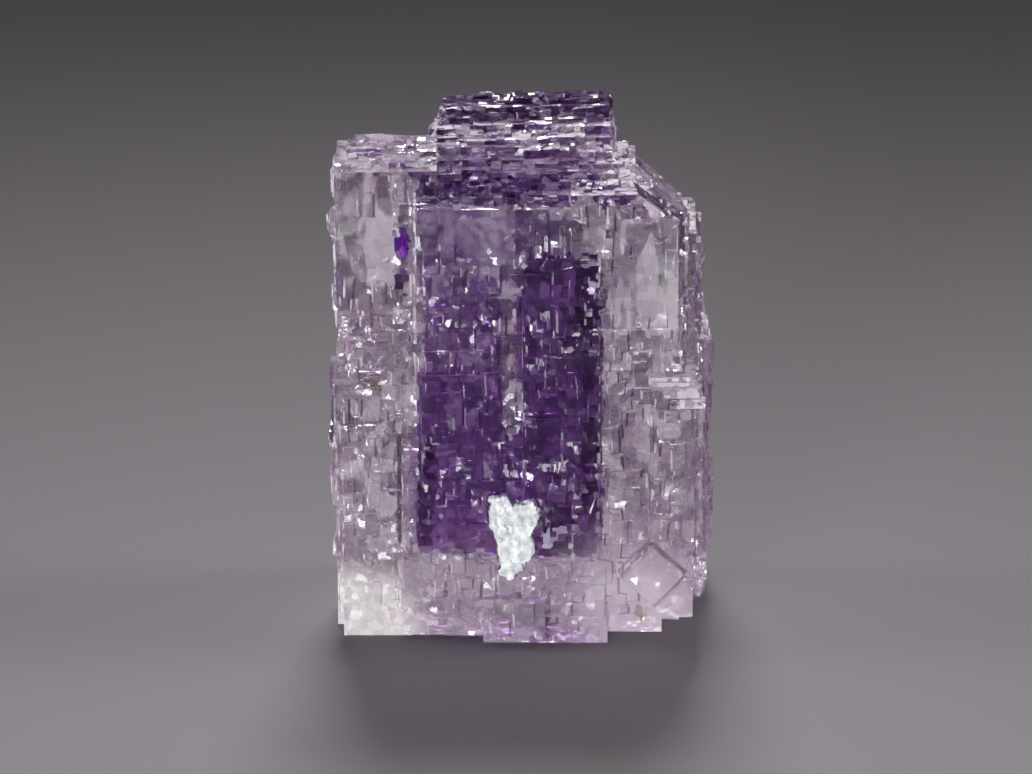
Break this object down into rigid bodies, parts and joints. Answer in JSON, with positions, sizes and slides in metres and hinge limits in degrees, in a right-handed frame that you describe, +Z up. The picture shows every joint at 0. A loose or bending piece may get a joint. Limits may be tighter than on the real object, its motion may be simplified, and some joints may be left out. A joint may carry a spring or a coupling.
{
  "type": "fluorite specimen",
  "caption": "Loose blocky fluorite crystal, colourless and lilac with a dark purple middle, a stepped top, plated faces and a white calcite patch; stands for display.",
  "frame": {"origin": "on the surface it stands on, in the middle of the crystal's box", "axes": "+Z up along the crystal's height; the front with the white patch faces -Y; +X is to the right of that front"},
  "size_m": [0.0218, 0.0142, 0.0296],
  "materials": {
    "fluorite": "gloss",
    "calcite": "matte"
  },
  "bodies": {
    "root": {"fluorite_crystal": "fluorite", "white_calcite_patch": "calcite"}
  },
  "joints": []
}
